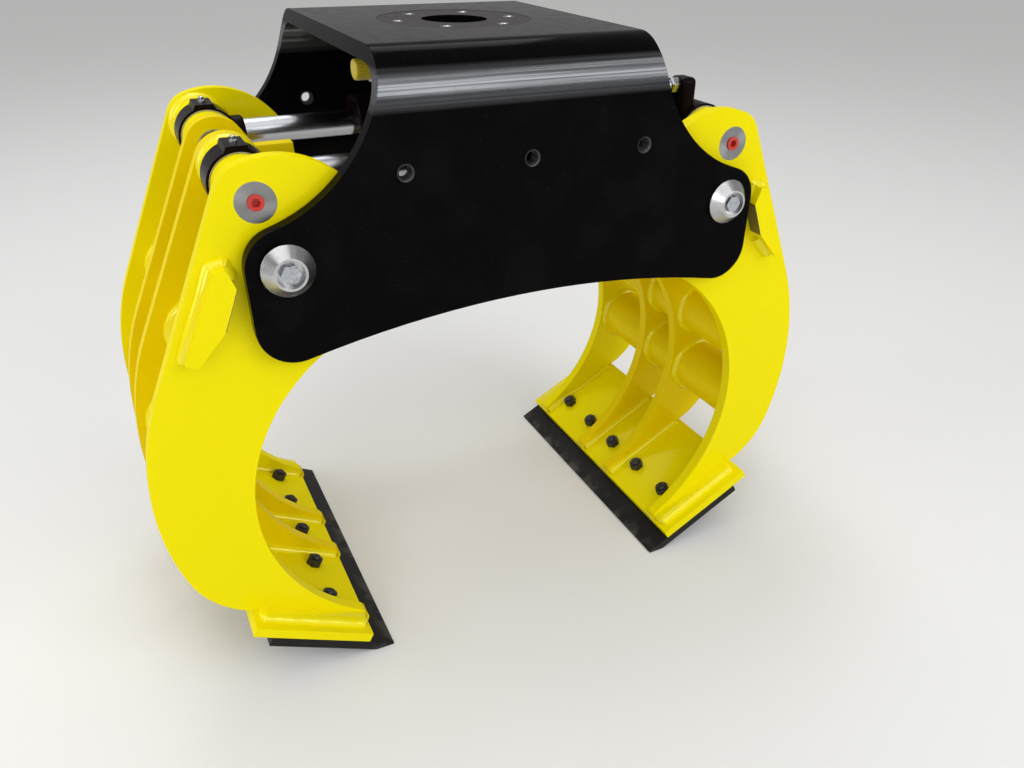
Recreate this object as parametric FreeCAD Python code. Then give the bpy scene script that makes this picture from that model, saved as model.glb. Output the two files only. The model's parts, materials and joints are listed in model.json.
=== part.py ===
# Sorting grapple: a folded yoke with a rotator flange carries two jaws of curved tines.
# Two level hydraulic cylinders between the jaws open and close them in step.
# Units are millimetres. +X is the direction in which the right jaw opens, +Y runs to the rear
# along the pivots, and +Z is up. The origin is on the ground, midway between the blades.
# Everything is drawn with z = 0 on the line between the two jaw pivots, and lifted at the end.

import FreeCAD
import Part
import math
import os

Vec = FreeCAD.Vector

# Yoke: one folded plate
PIVOT_X = 333.3             # jaw pivot, out from the middle
YOKE_TO_JAW = 5.5           # between a side plate and the outer tine beside it
YOKE_PLATE = 20.0
YOKE_BEND = 60.0            # outside radius of the two folds
YOKE_TOP = 238.5            # flange face above the pivots
YOKE_TOP_HALF = 195.0       # half length of the flat top
EAR_R = 50.0                # rounding of the ears at the pivots
EAR_DROP = 77.0             # straight outer edge of each ear, below the pivot
ARCH_DROP = 91.0            # crown of the arched lower edge, below the pivots
FLANK_R = 211.0             # concave flank between top and ear

# Rotator flange in the top of the yoke
FLANGE_BOLT_CIRCLE = 173.0
FLANGE_BOLTS = 6
FLANGE_HOLE_R = 8.5
HOSE_HOLE_R = 48.0
FLANGE_SEAT_R = 113.0       # machined seat, a shade lower than the painted plate
FLANGE_SEAT_DEPTH = 0.5

# Three threaded holes in each side plate
SIDE_HOLE_PITCH = 175.0
SIDE_HOLE_Z = 99.0
SIDE_HOLE_R = 8.75
SIDE_HOLE_CHAMFER = 1.75

# Jaw pivots
PIVOT_PIN_R = 22.5
PIN_IN_YOKE_GAP = 0.05      # all round
BUSH_WALL = 5.0
BUSH_LENGTH = 60.0
RUNNING_GAP = 0.05          # all round, between a pin and its bush
PIVOT_TUBE_R = 35.0
TUBE_PROUD = 2.0            # pivot tube beyond the outer tine
THRUST_R = 40.0             # thrust washer, outside
THRUST_GAP = 0.3            # between thrust washer and pivot tube

# Cone washers and bolts on the pivot pins
CONE_BASE_R = 33.5
CONE_TOP_R = 20.5
CONE_HEIGHT = 21.0
CONE_RIM = 6.0
CONE_RECESS_R = 17.5
CONE_RECESS = 10.0
PIVOT_BOLT_R = 7.0
PIVOT_BOLT_FLATS = 22.0
PIVOT_BOLT_HEAD = 9.0
PIVOT_BOLT_DEPTH = 32.0     # thread in the pin
BOLT_HOLE_GAP = 0.5         # all round, in a clearance hole

# Jaw tines, seen from the front; x is measured outwards from the jaw's own pivot
TINE_PLATE = 20.0
INNER_TINE_Y = 52.0         # middle of each inner tine
CYLINDER_BAY = 150.0        # room for a cylinder between an inner and an outer tine
CYLINDER_PIN = (20.3, 77.8)
OUTER_TOP_R = 48.0          # rounded top of an outer tine at the cylinder pin
INNER_TOP_R = 43.5          # the same on an inner tine
BEAK_TIP = (-108.0, 71.4)
BEAK_R = 122.5
ARM_TIP = (-66.0, 101.5)    # squared arm of the front inner tine
SHOULDER = (-70.0, 20.0)    # inner edge of the rear inner tine, which has no arm
TINE_INNER_EDGE = -72.0
BACK_WIDEST = (218.4, -329.5)
BACK_R = 423.4
BACK_R_ENDS_Z = -459.0      # below this the back curls in to the heel
THROAT_TOP = (-29.3, -139.0)
THROAT_MIDDLE = (90.0, -383.0)

# Carrier plate across the foot of each jaw
CARRIER_HEEL = (133.7, -556.5)      # lower edge, farthest from the middle
CARRIER_LENGTH = 194.4
CARRIER_SLOPE = 28.3                # degrees down towards the middle
CARRIER_PLATE = 16.0
CARRIER_PAST_TINE = 41.0            # at each end, beyond the outer tine
TINE_PAST_HEEL = 12.0
NOSE_HEIGHT = 15.0                  # tine above the carrier at its toe
NOSE_LENGTH = 10.0
NOSE_SETBACK = 2.0

# Bolted blade under the carrier
BLADE_PLATE = 16.0
BLADE_FROM_HEEL = 30.0
BLADE_REACH = 45.0                  # past the toe of the carrier
BLADE_LAND = 3.0
BLADE_BEVEL = 26.0
BLADE_BOLT_FROM_TOE = 57.0
BLADE_BOLT_TO_TINE = 24.0           # from the last bolt to the outer tine
BLADE_BOLTS = 5
BLADE_BOLT_R = 8.0
BLADE_BOLT_HEAD_R = 15.0
BLADE_BOLT_HEAD = 9.0
NUT_FLATS = 24.0
NUT_HEIGHT = 13.0
BOLT_PAST_NUT = 4.5
BOLT_POINT = 2.0

# Cross tubes that tie the four tines; centres out from and above the jaw pivot
CROSS_TUBE_R = 50.8
CROSS_TUBE_WALL = 8.0
CROSS_TUBES = ((92.7, -150.0), (145.7, -284.0), (149.7, -414.0))

# Stop lugs, drawn in the closed position where they seat against the ears
BLADE_MEETING_GAP = 1.0             # from each blade edge to the middle when closed
LUG_SEAT_GAP = 0.4
LUG_SEAT_TOP = -39.0
LUG_SEAT_BOTTOM = -94.0
LUG_OUTLINE = ((71.0, -150.0), (86.0, -149.0), (82.0, -26.0), (69.0, -18.0))

# Cylinders
CYLINDER_FROM_TINE = 68.0           # middle of a cylinder, from the inner tine beside it
EYE_R = 44.0
EYE_WIDTH = 50.0
EYE_BUSH_WALL = 5.0
PIN_R = 20.0
PIN_HEAD_R = 25.0
PIN_SEAT_GAP = 0.05                 # all round, between a pin and the welded parts it sits in
BOSS_R = 39.0
BOSS_TO_EYE = 1.0
NECK_HALF = 25.0
PAD_TOP = 48.0                      # flat pad for the grease nipple, above the pin
PAD_HALF = 13.0
PAD_FOOT_HALF = 19.0
ROD_R = 19.0
ROD_EYE_REACH = 54.0                # pin to the end of the black rod eye
ROD_THREAD = 14.0                   # rod inside its eye
PISTON_LENGTH = 40.0
PISTON_GROOVE = 3.0                 # depth of the seal groove
BORE_R = 35.0
BARREL_R = 42.0
BARREL_START = 85.0                 # pin to the first of the barrel
BARREL_CAP = 16.0
BARREL_REACH = 470.0                # pin to the end of the barrel
GLAND_LENGTH = 45.0
GLAND_FLANGE = 12.0
SLIDE_GAP = 0.05                    # all round, rod in gland and piston in bore
STROKE_SPARE = 6.0
OPENING_ANGLE = 43.0                # degrees from the drawn position to wide open

# Port block and fitting on each barrel
BLOCK_FROM_PIN = 14.0
BLOCK_LENGTH = 61.0
BLOCK_WIDTH = 46.0
BLOCK_TOP = 88.0
BLOCK_ROUND = 10.0
FITTING_FLATS = 22.0
FITTING_HEX = 10.0
FITTING_NECK = 14.0
FITTING_NECK_R = 8.0
FITTING_Z = 70.0

# Cylinder pin fastenings
PLUG_R = 10.0
PLUG_DEPTH = 12.0
PLUG_PROUD = 2.0
PLUG_SOCKET_FLATS = 10.0
PLUG_SOCKET = 7.0
KEEPER_R = 27.0
KEEPER_PLATE = 6.0
KEEPER_BOLT_R = 6.0
KEEPER_BOLT_FLATS = 19.0
KEEPER_BOLT_HEAD = 8.0
KEEPER_BOLT_DEPTH = 24.0

# Capped hydraulic coupling under the top of the yoke
COUPLING_X = -162.0                 # bracket plate
COUPLING_Y = -125.0
COUPLING_DROP = 20.0                # axis below the inside of the top plate
BRACKET_PLATE = 6.0
BRACKET_WIDTH = 44.0
BRACKET_BELOW_HEX = 4.0
COUPLING_R = 9.0
COUPLING_FLATS = 27.0
COUPLING_HEX = 10.0
COUPLING_REAR = 26.0
CAP_R = 13.0
CAP_LENGTH = 20.0
CAP_RIBS = 18
CAP_WALL = 3.0

# Values worked out from the sizes above
INNER_TINE_FACE = INNER_TINE_Y + TINE_PLATE / 2
CYLINDER_Y = INNER_TINE_FACE + CYLINDER_FROM_TINE
OUTER_TINE_INSIDE = INNER_TINE_FACE + CYLINDER_BAY
JAW_FACE = OUTER_TINE_INSIDE + TINE_PLATE
YOKE_INSIDE = JAW_FACE + YOKE_TO_JAW
YOKE_FACE = YOKE_INSIDE + YOKE_PLATE
CARRIER_END = JAW_FACE + CARRIER_PAST_TINE
BLADE_BOLT_PITCH = 2 * (OUTER_TINE_INSIDE - BLADE_BOLT_TO_TINE) / (BLADE_BOLTS - 1)
BACK_CENTRE = (BACK_WIDEST[0] - BACK_R, BACK_WIDEST[1])
SLOPE = math.radians(CARRIER_SLOPE)
ALONG = (-math.cos(SLOPE), -math.sin(SLOPE))        # heel to toe
UP = (-math.sin(SLOPE), math.cos(SLOPE))            # square to the carrier, into the jaw
PIN_ARM = math.hypot(*CYLINDER_PIN)
PIN_LEAN = math.degrees(math.atan2(CYLINDER_PIN[0], CYLINDER_PIN[1]))


def on_slope(along, up):
    """Point beside a jaw's foot: distance from the heel, and height above its underside."""
    return (CARRIER_HEEL[0] + ALONG[0] * along + UP[0] * up,
            CARRIER_HEEL[1] + ALONG[1] * along + UP[1] * up)


def blade_outline():
    end = CARRIER_LENGTH + BLADE_REACH
    return [on_slope(BLADE_FROM_HEEL, 0), on_slope(end, 0), on_slope(end, -BLADE_LAND),
            on_slope(end - BLADE_BEVEL, -BLADE_PLATE), on_slope(BLADE_FROM_HEEL, -BLADE_PLATE)]


STAND_HEIGHT = -min(z for x, z in blade_outline())  # pivots above the ground


def closing_angle():
    """Degrees that a jaw turns from the drawn position until the blade edges nearly meet."""
    x, z = on_slope(CARRIER_LENGTH + BLADE_REACH, 0)
    reach = math.hypot(x, z)
    leaning = math.asin(-x / reach)
    meeting = math.asin((PIVOT_X - BLADE_MEETING_GAP) / reach)
    return math.degrees(meeting - leaning)


def turn(point, degrees):
    """Turn a point about the pivot; plus opens the right jaw."""
    a = math.radians(degrees)
    return (point[0] * math.cos(a) - point[1] * math.sin(a),
            point[0] * math.sin(a) + point[1] * math.cos(a))


def pin_spread(degrees):
    """Distance between the cylinder pins with the jaws opened this far."""
    return 2 * (PIVOT_X + PIN_ARM * math.sin(math.radians(PIN_LEAN - degrees)))


def circle_meet(c1, r1, c2, r2, side):
    """Point at r1 from c1 and r2 from c2, on the left (+1) or right (-1) of the way between."""
    dx = c2[0] - c1[0]
    dz = c2[1] - c1[1]
    d = math.hypot(dx, dz)
    a = (r1 * r1 - r2 * r2 + d * d) / (2 * d)
    h = math.sqrt(r1 * r1 - a * a) * side
    return (c1[0] + (a * dx - h * dz) / d, c1[1] + (a * dz + h * dx) / d)


def toward(start, end, distance):
    """Point at a distance from start on the way to end."""
    d = math.hypot(end[0] - start[0], end[1] - start[1])
    return (start[0] + (end[0] - start[0]) * distance / d,
            start[1] + (end[1] - start[1]) * distance / d)


def flat(point):
    return Vec(point[0], 0, point[1])


def line(a, b):
    return Part.makeLine(flat(a), flat(b))


def arc(a, middle, b):
    return Part.Arc(flat(a), flat(middle), flat(b)).toShape()


def round_arc(centre, a, b):
    """Short way round a circle from a to b."""
    radius = math.hypot(a[0] - centre[0], a[1] - centre[1])
    half = ((a[0] + b[0]) / 2, (a[1] + b[1]) / 2)
    return arc(a, toward(centre, half, radius), b)


def slab(edges, y0, y1):
    """Solid between two planes across Y, from edges drawn in the XZ plane."""
    face = Part.Face(Part.Wire(edges))
    face.translate(Vec(0, y0, 0))
    return face.extrude(Vec(0, y1 - y0, 0))


def polygon(points, y0, y1):
    edges = [line(a, b) for a, b in zip(points, points[1:] + points[:1])]
    return slab(edges, y0, y1)


def rod_along_y(point, radius, y0, y1):
    return Part.makeCylinder(radius, y1 - y0, Vec(point[0], y0, point[1]), Vec(0, 1, 0))


def rod_along_x(x0, x1, y, z, radius):
    return Part.makeCylinder(radius, x1 - x0, Vec(x0, y, z), Vec(1, 0, 0))


def hexagon(flats, height, base, direction):
    radius = flats / math.sqrt(3)
    corners = [Vec(radius * math.cos(math.radians(60 * k)), radius * math.sin(math.radians(60 * k)), 0)
               for k in range(7)]
    prism = Part.Face(Part.makePolygon(corners)).extrude(Vec(0, 0, height))
    prism.Placement = FreeCAD.Placement(base, FreeCAD.Rotation(Vec(0, 0, 1), direction))
    return prism


def revolve(points, base, direction):
    """Solid of revolution from (radius, height) points, standing at base along direction."""
    edges = [Part.makeLine(Vec(a[0], 0, a[1]), Vec(b[0], 0, b[1]))
             for a, b in zip(points, points[1:] + points[:1])]
    solid = Part.Face(Part.Wire(edges)).revolve(Vec(0, 0, 0), Vec(0, 0, 1), 360)
    solid.Placement = FreeCAD.Placement(base, FreeCAD.Rotation(Vec(0, 0, 1), direction))
    return solid


def moved(shape, x=0.0, y=0.0, z=0.0):
    copy = shape.copy()
    copy.translate(Vec(x, y, z))
    return copy


def front_and_rear(shape):
    """A shape and its mirror image across the middle plane Y = 0."""
    return [shape, shape.mirror(Vec(0, 0, 0), Vec(0, 1, 0))]


def save(name, shapes):
    """Lift the shapes from the pivot line to the ground and write one STEP file."""
    solids = [s for shape in shapes for s in shape.Solids]
    lifted = [moved(s, z=STAND_HEIGHT) for s in solids]
    group = lifted[0] if len(lifted) == 1 else Part.makeCompound(lifted)
    group.exportStep("parts/" + name + ".step")
    print(name, len(solids), "solids", round(sum(s.Volume for s in solids) / 1000), "cm3",
          all(s.isValid() for s in solids))


# Yoke

def yoke_outline():
    """Side view that trims the folded plate: concave flanks, round ears and an arched lower edge."""
    ear = (PIVOT_X, 0.0)
    low = (PIVOT_X, -EAR_DROP)
    corner = (YOKE_TOP_HALF, YOKE_TOP)
    flank = circle_meet(ear, FLANK_R + EAR_R, corner, FLANK_R, -1)
    flank_end = toward(ear, flank, EAR_R)
    fall = ARCH_DROP - EAR_DROP
    arch_r = (PIVOT_X ** 2 + fall ** 2 - EAR_R ** 2) / (2 * (EAR_R - fall))
    arch = (0.0, -ARCH_DROP - arch_r)
    arch_end = toward(low, arch, EAR_R)
    above = YOKE_TOP + YOKE_PLATE / 4
    flank_top = (flank[0] - math.sqrt(FLANK_R ** 2 - (above - flank[1]) ** 2), above)
    right = [round_arc(flank, flank_top, flank_end),
             round_arc(ear, flank_end, (PIVOT_X + EAR_R, 0.0)),
             line((PIVOT_X + EAR_R, 0.0), (PIVOT_X + EAR_R, -EAR_DROP)),
             round_arc(low, (PIVOT_X + EAR_R, -EAR_DROP), arch_end)]
    left = [edge.mirror(Vec(0, 0, 0), Vec(1, 0, 0)) for edge in right]
    top = line((-flank_top[0], above), flank_top)
    crown = arc(arch_end, (0.0, -ARCH_DROP), (-arch_end[0], arch_end[1]))
    return Part.__sortEdges__([top, crown] + right + left)


def folded_plate():
    """Inverted U of constant thickness, longer than the yoke, to be trimmed to its side view."""
    reach = PIVOT_X + 2 * EAR_R
    bottom = -EAR_DROP - 2 * EAR_R

    def block(half, top, radius):
        box = Part.makeBox(2 * reach, 2 * half, top - bottom, Vec(-reach, -half, bottom))
        folds = [e for e in box.Edges if e.BoundBox.YLength < 1e-6 and e.BoundBox.ZLength < 1e-6
                 and abs(e.BoundBox.ZMax - top) < 1e-6]
        return box.makeFillet(radius, folds)

    outer = block(YOKE_FACE, YOKE_TOP, YOKE_BEND)
    inner = block(YOKE_INSIDE, YOKE_TOP - YOKE_PLATE, YOKE_BEND - YOKE_PLATE)
    return outer.cut(inner)


def yoke():
    body = folded_plate().common(slab(yoke_outline(), -2 * YOKE_FACE, 2 * YOKE_FACE))
    under = YOKE_TOP - YOKE_PLATE
    cuts = [Part.makeCylinder(HOSE_HOLE_R, YOKE_PLATE, Vec(0, 0, under)),
            Part.makeCylinder(FLANGE_SEAT_R, FLANGE_SEAT_DEPTH, Vec(0, 0, YOKE_TOP - FLANGE_SEAT_DEPTH))]
    for k in range(FLANGE_BOLTS):
        a = 2 * math.pi * k / FLANGE_BOLTS
        x = FLANGE_BOLT_CIRCLE / 2 * math.cos(a)
        y = FLANGE_BOLT_CIRCLE / 2 * math.sin(a)
        cuts.append(Part.makeCylinder(FLANGE_HOLE_R, YOKE_PLATE, Vec(x, y, under)))
    for x in (-SIDE_HOLE_PITCH, 0.0, SIDE_HOLE_PITCH):
        cuts.append(rod_along_y((x, SIDE_HOLE_Z), SIDE_HOLE_R, -YOKE_FACE, YOKE_FACE))
        mouth = Part.makeCone(SIDE_HOLE_R + SIDE_HOLE_CHAMFER, SIDE_HOLE_R, SIDE_HOLE_CHAMFER,
                              Vec(x, -YOKE_FACE, SIDE_HOLE_Z), Vec(0, 1, 0))
        cuts += front_and_rear(mouth)
    for side in (-1, 1):
        cuts.append(rod_along_y((side * PIVOT_X, 0.0), PIVOT_PIN_R + PIN_IN_YOKE_GAP, -YOKE_FACE, YOKE_FACE))
    return body.cut(cuts)


def pivot_pin(x):
    pin = rod_along_y((x, 0.0), PIVOT_PIN_R, -YOKE_FACE, YOKE_FACE)
    thread = rod_along_y((x, 0.0), PIVOT_BOLT_R, -YOKE_FACE, -YOKE_FACE + PIVOT_BOLT_DEPTH)
    return pin.cut(front_and_rear(thread))


def cone_washer(x):
    """Cone washer on the front face; its bolt head sits in a recess."""
    floor = CONE_HEIGHT - CONE_RECESS
    hole = PIVOT_BOLT_R + BOLT_HOLE_GAP
    profile = [(hole, 0), (CONE_BASE_R, 0), (CONE_BASE_R, CONE_RIM), (CONE_TOP_R, CONE_HEIGHT),
               (CONE_RECESS_R, CONE_HEIGHT), (CONE_RECESS_R, floor), (hole, floor)]
    return revolve(profile, Vec(x, -YOKE_FACE, 0), Vec(0, -1, 0))


def pivot_bolt(x):
    seat = -YOKE_FACE - CONE_HEIGHT + CONE_RECESS
    head = hexagon(PIVOT_BOLT_FLATS, PIVOT_BOLT_HEAD, Vec(x, seat, 0), Vec(0, -1, 0))
    shank = rod_along_y((x, 0.0), PIVOT_BOLT_R, seat, -YOKE_FACE + PIVOT_BOLT_DEPTH)
    return head.fuse(shank)


def thrust_washer(x):
    outer = -JAW_FACE - TUBE_PROUD - THRUST_GAP
    ring = rod_along_y((x, 0.0), THRUST_R, -YOKE_INSIDE, outer)
    return ring.cut(rod_along_y((x, 0.0), PIVOT_PIN_R + PIN_IN_YOKE_GAP, -YOKE_INSIDE, outer))


def make_yoke():
    save("yoke_frame", [yoke()])
    washers = []
    bolts = []
    thrusts = []
    for name, x in (("left", -PIVOT_X), ("right", PIVOT_X)):
        save(name + "_pivot_pin", [pivot_pin(x)])
        washers += front_and_rear(cone_washer(x))
        bolts += front_and_rear(pivot_bolt(x))
        thrusts += front_and_rear(thrust_washer(x))
    save("pivot_cone_washers", washers)
    save("pivot_bolts", bolts)
    save("thrust_washers", thrusts)


def make_coupling():
    """Bulkhead coupling with a ribbed dust cap, on a small bracket under the top plate."""
    roof = YOKE_TOP - YOKE_PLATE
    z = roof - COUPLING_DROP
    foot = z - COUPLING_FLATS / 2 - BRACKET_BELOW_HEX
    plate = Part.makeBox(BRACKET_PLATE, BRACKET_WIDTH, roof - foot,
                         Vec(COUPLING_X, COUPLING_Y - BRACKET_WIDTH / 2, foot))
    corners = [e for e in plate.Edges if e.BoundBox.ZLength < 1e-6 and e.BoundBox.YLength < 1e-6
               and abs(e.BoundBox.ZMax - foot) < 1e-6]
    plate = plate.makeFillet(BRACKET_WIDTH / 4, corners)
    hole = rod_along_x(COUPLING_X, COUPLING_X + BRACKET_PLATE, COUPLING_Y, z, COUPLING_R)
    save("coupling_bracket", [plate.cut(hole)])
    left_hex = hexagon(COUPLING_FLATS, COUPLING_HEX, Vec(COUPLING_X, COUPLING_Y, z), Vec(-1, 0, 0))
    right_hex = hexagon(COUPLING_FLATS, COUPLING_HEX, Vec(COUPLING_X + BRACKET_PLATE, COUPLING_Y, z), Vec(1, 0, 0))
    cap_end = COUPLING_X - COUPLING_HEX - CAP_LENGTH
    stem = rod_along_x(cap_end + CAP_WALL, COUPLING_X + BRACKET_PLATE + COUPLING_REAR, COUPLING_Y, z, COUPLING_R)
    save("hose_coupling", [left_hex.fuse([right_hex, stem])])
    cap = rod_along_x(cap_end, COUPLING_X - COUPLING_HEX, COUPLING_Y, z, CAP_R)
    rounded = [e for e in cap.Edges if abs(e.BoundBox.XMax - cap_end) < 1e-6]
    cap = cap.makeFillet(CAP_WALL, rounded)
    socket = rod_along_x(cap_end + CAP_WALL, COUPLING_X, COUPLING_Y, z, COUPLING_R)
    grooves = []
    for k in range(CAP_RIBS):
        a = 2 * math.pi * k / CAP_RIBS
        grooves.append(rod_along_x(cap_end + 2 * CAP_WALL, COUPLING_X - COUPLING_HEX - CAP_WALL,
                                   COUPLING_Y + CAP_R * math.cos(a), z + CAP_R * math.sin(a), 0.9))
    save("coupling_cap", [cap.cut([socket] + grooves)])


# Jaws, drawn for the right side; the left jaw is the mirror image

def foot_edges():
    """Throat, nose and the line where a tine stands on the carrier, from throat to heel."""
    toe = CARRIER_LENGTH
    top = CARRIER_PLATE
    nose_back = on_slope(toe - NOSE_LENGTH, top + NOSE_HEIGHT)
    nose_middle = on_slope(toe - NOSE_SETBACK - 1.5, top + 0.6 * NOSE_HEIGHT)
    nose_foot = on_slope(toe - NOSE_SETBACK, top)
    heel = on_slope(-TINE_PAST_HEEL, top)
    bend = arc(THROAT_TOP, THROAT_MIDDLE, nose_back).Curve
    centre = (bend.Center.x, bend.Center.z)
    radius = bend.Radius
    rise = math.sqrt(radius ** 2 - (TINE_INNER_EDGE - centre[0]) ** 2)
    throat_start = (TINE_INNER_EDGE, centre[1] + rise)
    throat = arc(throat_start, THROAT_MIDDLE, nose_back)
    return throat_start, [throat, arc(nose_back, nose_middle, nose_foot), line(nose_foot, heel)], heel


def back_edges(heel, top_r):
    """Outer edge of a tine, from the heel up to the rounded top at the cylinder pin."""
    drop = BACK_R_ENDS_Z - BACK_CENTRE[1]
    curl_top = (BACK_CENTRE[0] + math.sqrt(BACK_R ** 2 - drop ** 2), BACK_R_ENDS_Z)
    inward = ((BACK_CENTRE[0] - curl_top[0]) / BACK_R, (BACK_CENTRE[1] - curl_top[1]) / BACK_R)
    chord = (heel[0] - curl_top[0], heel[1] - curl_top[1])
    curl_r = (chord[0] ** 2 + chord[1] ** 2) / (2 * (chord[0] * inward[0] + chord[1] * inward[1]))
    curl_centre = (curl_top[0] + inward[0] * curl_r, curl_top[1] + inward[1] * curl_r)
    between = (CYLINDER_PIN[0] - BACK_CENTRE[0], CYLINDER_PIN[1] - BACK_CENTRE[1])
    lean = math.atan2(between[1], between[0]) - math.acos((BACK_R - top_r) / math.hypot(*between))
    normal = (math.cos(lean), math.sin(lean))
    back_top = (BACK_CENTRE[0] + BACK_R * normal[0], BACK_CENTRE[1] + BACK_R * normal[1])
    top_side = (CYLINDER_PIN[0] + top_r * normal[0], CYLINDER_PIN[1] + top_r * normal[1])
    widest = (BACK_CENTRE[0] + BACK_R, BACK_CENTRE[1])
    return top_side, [round_arc(curl_centre, heel, curl_top), arc(curl_top, widest, back_top),
                      line(back_top, top_side)]


def outer_tine_edges():
    """Tine with a long beak that guards the cylinder pin."""
    throat_start, foot, heel = foot_edges()
    top_side, back = back_edges(heel, OUTER_TOP_R)
    beak_centre = circle_meet(CYLINDER_PIN, BEAK_R - OUTER_TOP_R, BEAK_TIP, BEAK_R, 1)
    beak_root = toward(beak_centre, CYLINDER_PIN, BEAK_R)
    top = [round_arc(CYLINDER_PIN, top_side, beak_root), round_arc(beak_centre, beak_root, BEAK_TIP)]
    return back + top + [line(BEAK_TIP, throat_start)] + foot


def inner_tine_edges(has_arm):
    """Tine with a round top; the front one has a squared arm."""
    throat_start, foot, heel = foot_edges()
    top_side, back = back_edges(heel, INNER_TOP_R)
    crown = (CYLINDER_PIN[0], CYLINDER_PIN[1] + INNER_TOP_R)
    if has_arm:
        rise = ARM_TIP[1] - CYLINDER_PIN[1]
        root = (CYLINDER_PIN[0] - math.sqrt(INNER_TOP_R ** 2 - rise ** 2), ARM_TIP[1])
        corner = ARM_TIP
    else:
        away = math.hypot(SHOULDER[0] - CYLINDER_PIN[0], SHOULDER[1] - CYLINDER_PIN[1])
        root = circle_meet(CYLINDER_PIN, INNER_TOP_R, SHOULDER, math.sqrt(away ** 2 - INNER_TOP_R ** 2), -1)
        corner = SHOULDER
    return back + [arc(top_side, crown, root), line(root, corner), line(corner, throat_start)] + foot


def tine_holes(y0, y1, pin_hole_r):
    return [rod_along_y((0.0, 0.0), PIVOT_TUBE_R, y0, y1), rod_along_y(CYLINDER_PIN, pin_hole_r, y0, y1)]


def outer_tine():
    """Front outer tine; the cross tubes butt against its inner face."""
    plate = slab(outer_tine_edges(), -JAW_FACE, -OUTER_TINE_INSIDE)
    return plate.cut(tine_holes(-JAW_FACE, -OUTER_TINE_INSIDE, PIN_HEAD_R + PIN_SEAT_GAP))


def inner_tine(has_arm):
    """Inner tine at the front; the cross tubes pass through it."""
    y0 = -INNER_TINE_FACE
    y1 = y0 + TINE_PLATE
    holes = tine_holes(y0, y1, PIN_R + PIN_SEAT_GAP)
    holes += [rod_along_y(centre, CROSS_TUBE_R, y0, y1) for centre in CROSS_TUBES]
    return slab(inner_tine_edges(has_arm), y0, y1).cut(holes)


def cross_tubes():
    reach = OUTER_TINE_INSIDE
    return [rod_along_y(c, CROSS_TUBE_R, -reach, reach).cut(
        rod_along_y(c, CROSS_TUBE_R - CROSS_TUBE_WALL, -reach, reach)) for c in CROSS_TUBES]


def pivot_tube():
    reach = JAW_FACE + TUBE_PROUD
    bore = PIVOT_PIN_R + RUNNING_GAP + BUSH_WALL
    return rod_along_y((0.0, 0.0), PIVOT_TUBE_R, -reach, reach).cut(rod_along_y((0.0, 0.0), bore, -reach, reach))


def pivot_bush():
    reach = JAW_FACE + TUBE_PROUD
    bore = PIVOT_PIN_R + RUNNING_GAP
    ring = rod_along_y((0.0, 0.0), bore + BUSH_WALL, -reach, -reach + BUSH_LENGTH)
    return ring.cut(rod_along_y((0.0, 0.0), bore, -reach, -reach + BUSH_LENGTH))


def pin_bosses():
    """Welded spacers on the outer and inner tine that keep a cylinder eye central."""
    eye_front = -CYLINDER_Y - EYE_WIDTH / 2 - BOSS_TO_EYE
    eye_rear = -CYLINDER_Y + EYE_WIDTH / 2 + BOSS_TO_EYE
    spans = ((-OUTER_TINE_INSIDE, eye_front), (eye_rear, -INNER_TINE_FACE))
    bosses = []
    for y0, y1 in spans:
        ring = rod_along_y(CYLINDER_PIN, BOSS_R, y0, y1)
        bosses.append(ring.cut(rod_along_y(CYLINDER_PIN, PIN_R + PIN_SEAT_GAP, y0, y1)))
    return bosses


def cylinder_pin():
    """Pin with a flush head; the plug closes the grease bore in its head."""
    rear = -INNER_TINE_FACE + TINE_PLATE
    head = rod_along_y(CYLINDER_PIN, PIN_HEAD_R, -JAW_FACE, -OUTER_TINE_INSIDE)
    shank = rod_along_y(CYLINDER_PIN, PIN_R, -JAW_FACE, rear)
    plug = rod_along_y(CYLINDER_PIN, PLUG_R, -JAW_FACE, -JAW_FACE + PLUG_DEPTH)
    thread = rod_along_y(CYLINDER_PIN, KEEPER_BOLT_R, rear - KEEPER_BOLT_DEPTH, rear)
    return head.fuse(shank).cut([plug, thread])


def pin_plug():
    front = -JAW_FACE - PLUG_PROUD
    body = rod_along_y(CYLINDER_PIN, PLUG_R, front, -JAW_FACE + PLUG_DEPTH)
    socket = hexagon(PLUG_SOCKET_FLATS, PLUG_SOCKET, Vec(CYLINDER_PIN[0], front, CYLINDER_PIN[1]), Vec(0, 1, 0))
    return body.cut(socket)


def pin_keeper():
    """Keeper plate and bolt that hold a cylinder pin at the inner tine."""
    y = -INNER_TINE_FACE + TINE_PLATE
    plate = rod_along_y(CYLINDER_PIN, KEEPER_R, y, y + KEEPER_PLATE)
    plate = plate.cut(rod_along_y(CYLINDER_PIN, KEEPER_BOLT_R + BOLT_HOLE_GAP, y, y + KEEPER_PLATE))
    base = Vec(CYLINDER_PIN[0], y + KEEPER_PLATE, CYLINDER_PIN[1])
    head = hexagon(KEEPER_BOLT_FLATS, KEEPER_BOLT_HEAD, base, Vec(0, 1, 0))
    shank = rod_along_y(CYLINDER_PIN, KEEPER_BOLT_R, y - KEEPER_BOLT_DEPTH, y + KEEPER_PLATE)
    return [plate, head.fuse(shank)]


def stop_lug():
    """Lug on the front outer tine, in the plane of the ear that it seats against when closed."""
    seat = EAR_R + LUG_SEAT_GAP
    closed = ((seat, LUG_SEAT_TOP), (seat, LUG_SEAT_BOTTOM)) + LUG_OUTLINE
    drawn = [turn(point, closing_angle()) for point in closed]
    return polygon(drawn, -YOKE_FACE, -JAW_FACE)


def slope_axis():
    return Vec(UP[0], 0, UP[1])


def bolt_places():
    """Bolt positions on the underside of the carrier."""
    x, z = on_slope(CARRIER_LENGTH - BLADE_BOLT_FROM_TOE, 0)
    middle = (BLADE_BOLTS - 1) / 2
    return [Vec(x, (k - middle) * BLADE_BOLT_PITCH, z) for k in range(BLADE_BOLTS)]


def raised(point, up):
    return point + slope_axis() * up


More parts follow.
